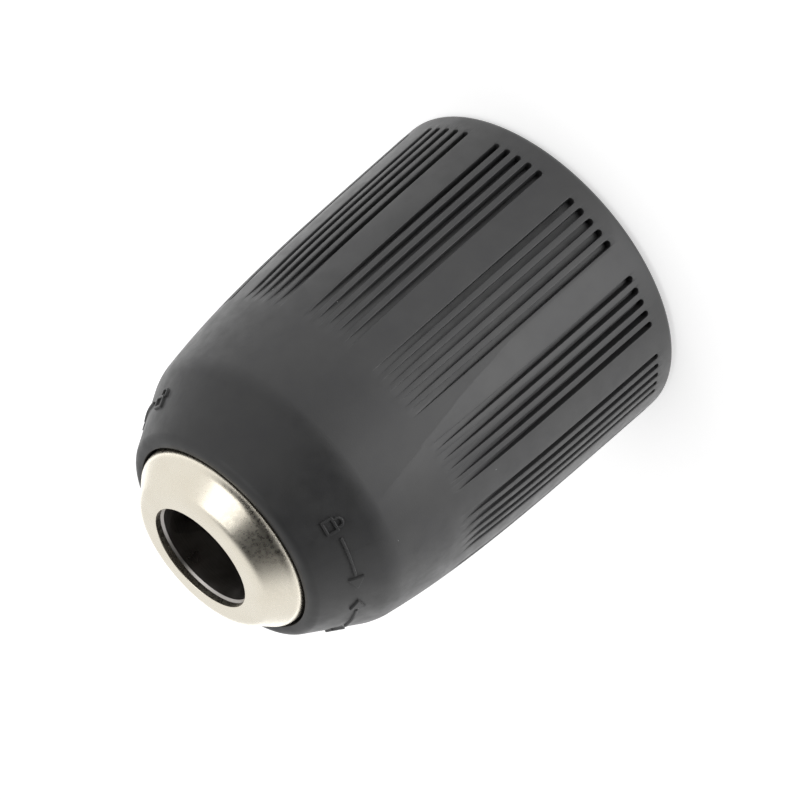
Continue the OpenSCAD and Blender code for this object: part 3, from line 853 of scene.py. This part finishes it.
def make_world(level):
    """Soft light from all round, seen as white, with a darker side where a photographer stands."""
    world = bpy.data.worlds.new("studio")
    bpy.context.scene.world = world
    world.use_nodes = True
    tree = world.node_tree
    background = tree.nodes["Background"]
    background.inputs["Color"].default_value = grey(1)
    place = tree.nodes.new("ShaderNodeTexCoord")
    facing = tree.nodes.new("ShaderNodeVectorMath")
    facing.operation = "DOT_PRODUCT"
    facing.inputs[1].default_value = direction(*DARK_SIDE)
    shade = tree.nodes.new("ShaderNodeMapRange")
    shade.interpolation_type = "SMOOTHSTEP"
    shade.inputs["From Min"].default_value = math.cos(math.radians(DARK_OUTER))
    shade.inputs["From Max"].default_value = math.cos(math.radians(DARK_INNER))
    shade.inputs["To Min"].default_value = level
    shade.inputs["To Max"].default_value = 0.0
    path = tree.nodes.new("ShaderNodeLightPath")
    strength = tree.nodes.new("ShaderNodeMath")
    strength.operation = "MAXIMUM"
    tree.links.new(place.outputs["Generated"], facing.inputs[0])
    tree.links.new(facing.outputs["Value"], shade.inputs["Value"])
    tree.links.new(shade.outputs["Result"], strength.inputs[0])
    tree.links.new(path.outputs["Is Camera Ray"], strength.inputs[1])
    tree.links.new(strength.outputs[0], background.inputs["Strength"])


def direction(azimuth, elevation):
    """Unit vector towards an azimuth and elevation in degrees."""
    a, e = math.radians(azimuth), math.radians(elevation)
    return Vector((math.cos(a) * math.cos(e), math.sin(a) * math.cos(e), math.sin(e)))


# Distance of the lamps from the chuck's middle, in metres
LAMP_DISTANCE = 0.5


def make_lamp(name, azimuth, elevation, size, power):
    """A soft square lamp, its size in metres, that looks at the chuck from an azimuth and elevation."""
    lamp = bpy.data.lights.new(name, "AREA")
    lamp.size = size
    lamp.energy = power
    holder = bpy.data.objects.new(name, lamp)
    bpy.context.scene.collection.objects.link(holder)
    towards = direction(azimuth, elevation)
    holder.location = towards * LAMP_DISTANCE + Vector((0, 0, CHUCK_L / 2 * MM))
    holder.rotation_euler = towards.to_track_quat("Z", "Y").to_euler()
    holder.visible_camera = False


# The view in degrees: azimuth that the camera looks along, how far down it looks, and its roll
VIEW_TURN = 46.6
VIEW_DROP = 27.194
VIEW_ROLL = 131.407
# Distance from the point that the camera looks at, and how far beside the axis and how high it lies
VIEW_DISTANCE = 347.387
VIEW_ASIDE = 1.488
VIEW_HEIGHT = 25.403
LENS = 136.1
SENSOR_W = 36


def make_camera():
    """The photograph's view: the chuck standing on its rear face, with the camera rolled."""
    turn, drop, roll = (math.radians(a) for a in (VIEW_TURN, VIEW_DROP, VIEW_ROLL))
    level = Vector((math.cos(turn), math.sin(turn), 0))
    forward = level * math.cos(drop) - Vector((0, 0, math.sin(drop)))
    side = forward.cross(Vector((0, 0, 1))).normalized()
    up = side.cross(forward)
    top = up * math.cos(roll) + side * math.sin(roll)
    right = forward.cross(top)
    aim = Vector((-math.sin(turn), math.cos(turn), 0)) * VIEW_ASIDE + Vector((0, 0, VIEW_HEIGHT))
    camera = bpy.data.cameras.new("camera")
    camera.lens = LENS
    camera.sensor_width = SENSOR_W
    camera.clip_start = 0.01
    holder = bpy.data.objects.new("camera", camera)
    bpy.context.scene.collection.objects.link(holder)
    place = Matrix((right, top, -forward)).transposed().to_4x4()
    place.translation = (aim - forward * VIEW_DISTANCE) * MM
    holder.matrix_world = place
    bpy.context.scene.camera = holder


# ---- The scene ----


def finish_node(node, material, sharp=30):
    """Gives a CAD node its material and smooth shading between its sharp edges."""
    mesh = NODES[node].data
    mesh.materials.clear()
    mesh.materials.append(material)
    mesh.shade_smooth()
    mesh.set_sharp_from_angle(angle=math.radians(sharp))


def dress_inside():
    """Materials of the jaws and of the pieces inside the sleeve."""
    jaw_steel = worked_metal("jaw_steel", (0.36, 0.35, 0.34, 1), (0.26, 0.25, 0.25, 1), 0.34)
    nut_steel = worked_metal("nut_steel", (0.12, 0.12, 0.125, 1), (0.07, 0.07, 0.075, 1), 0.45)
    band_steel = turned_steel("band_steel", (0.55, 0.55, 0.56, 1), (0.42, 0.42, 0.44, 1), 0.33)
    race_steel = turned_steel("race_steel", (0.62, 0.61, 0.60, 1), (0.52, 0.51, 0.50, 1), 0.2, 0.06, 0.002)
    cage_brass = worked_metal("cage_brass", (0.80, 0.56, 0.24, 1), (0.66, 0.43, 0.17, 1), 0.32)
    spring_steel = worked_metal("spring_steel", (0.32, 0.34, 0.40, 1), (0.22, 0.23, 0.28, 1), 0.28)
    ball_steel = worked_metal("ball_steel", grey(0.74), grey(0.68), 0.12, 0.6, 0.0005)
    for node, material in (
        ("jaw_1", jaw_steel),
        ("jaw_2", jaw_steel),
        ("jaw_3", jaw_steel),
        ("nut_half_a", nut_steel),
        ("nut_half_b", nut_steel),
        ("nut_band", band_steel),
        ("front_race", race_steel),
        ("ratchet_race", race_steel),
        ("ball_cage", cage_brass),
        ("lock_spring", spring_steel),
    ):
        finish_node(node, material)
    for node in NODES:
        if node.startswith("ball_") and node != "ball_cage":
            finish_node(node, ball_steel, 60)


def build():
    """The chuck: the pieces made here, and the CAD nodes that show themselves."""
    plastic = sleeve_plastic()
    body_steel = turned_steel("body_steel", (0.50, 0.48, 0.46, 1), (0.34, 0.32, 0.30, 1), 0.30)
    make_sleeve(plastic)
    make_nosepiece(nickel_plate())
    make_cover(cover_plastic())
    make_spindle_thread(body_steel)
    make_marks(plastic)
    finish_node("chuck_body", body_steel)
    dress_inside()


def light():
    """Floor, studio and two lamps, of which the low one lies under the floor's level."""
    make_floor()
    make_world(0.95)
    make_lamp("low_side", 195, -20, 0.25, 1.7)
    make_lamp("high_side", 262, 53, 0.3, 0.5)


bpy.context.scene.view_settings.view_transform = "Standard"
build()
light()
make_camera()
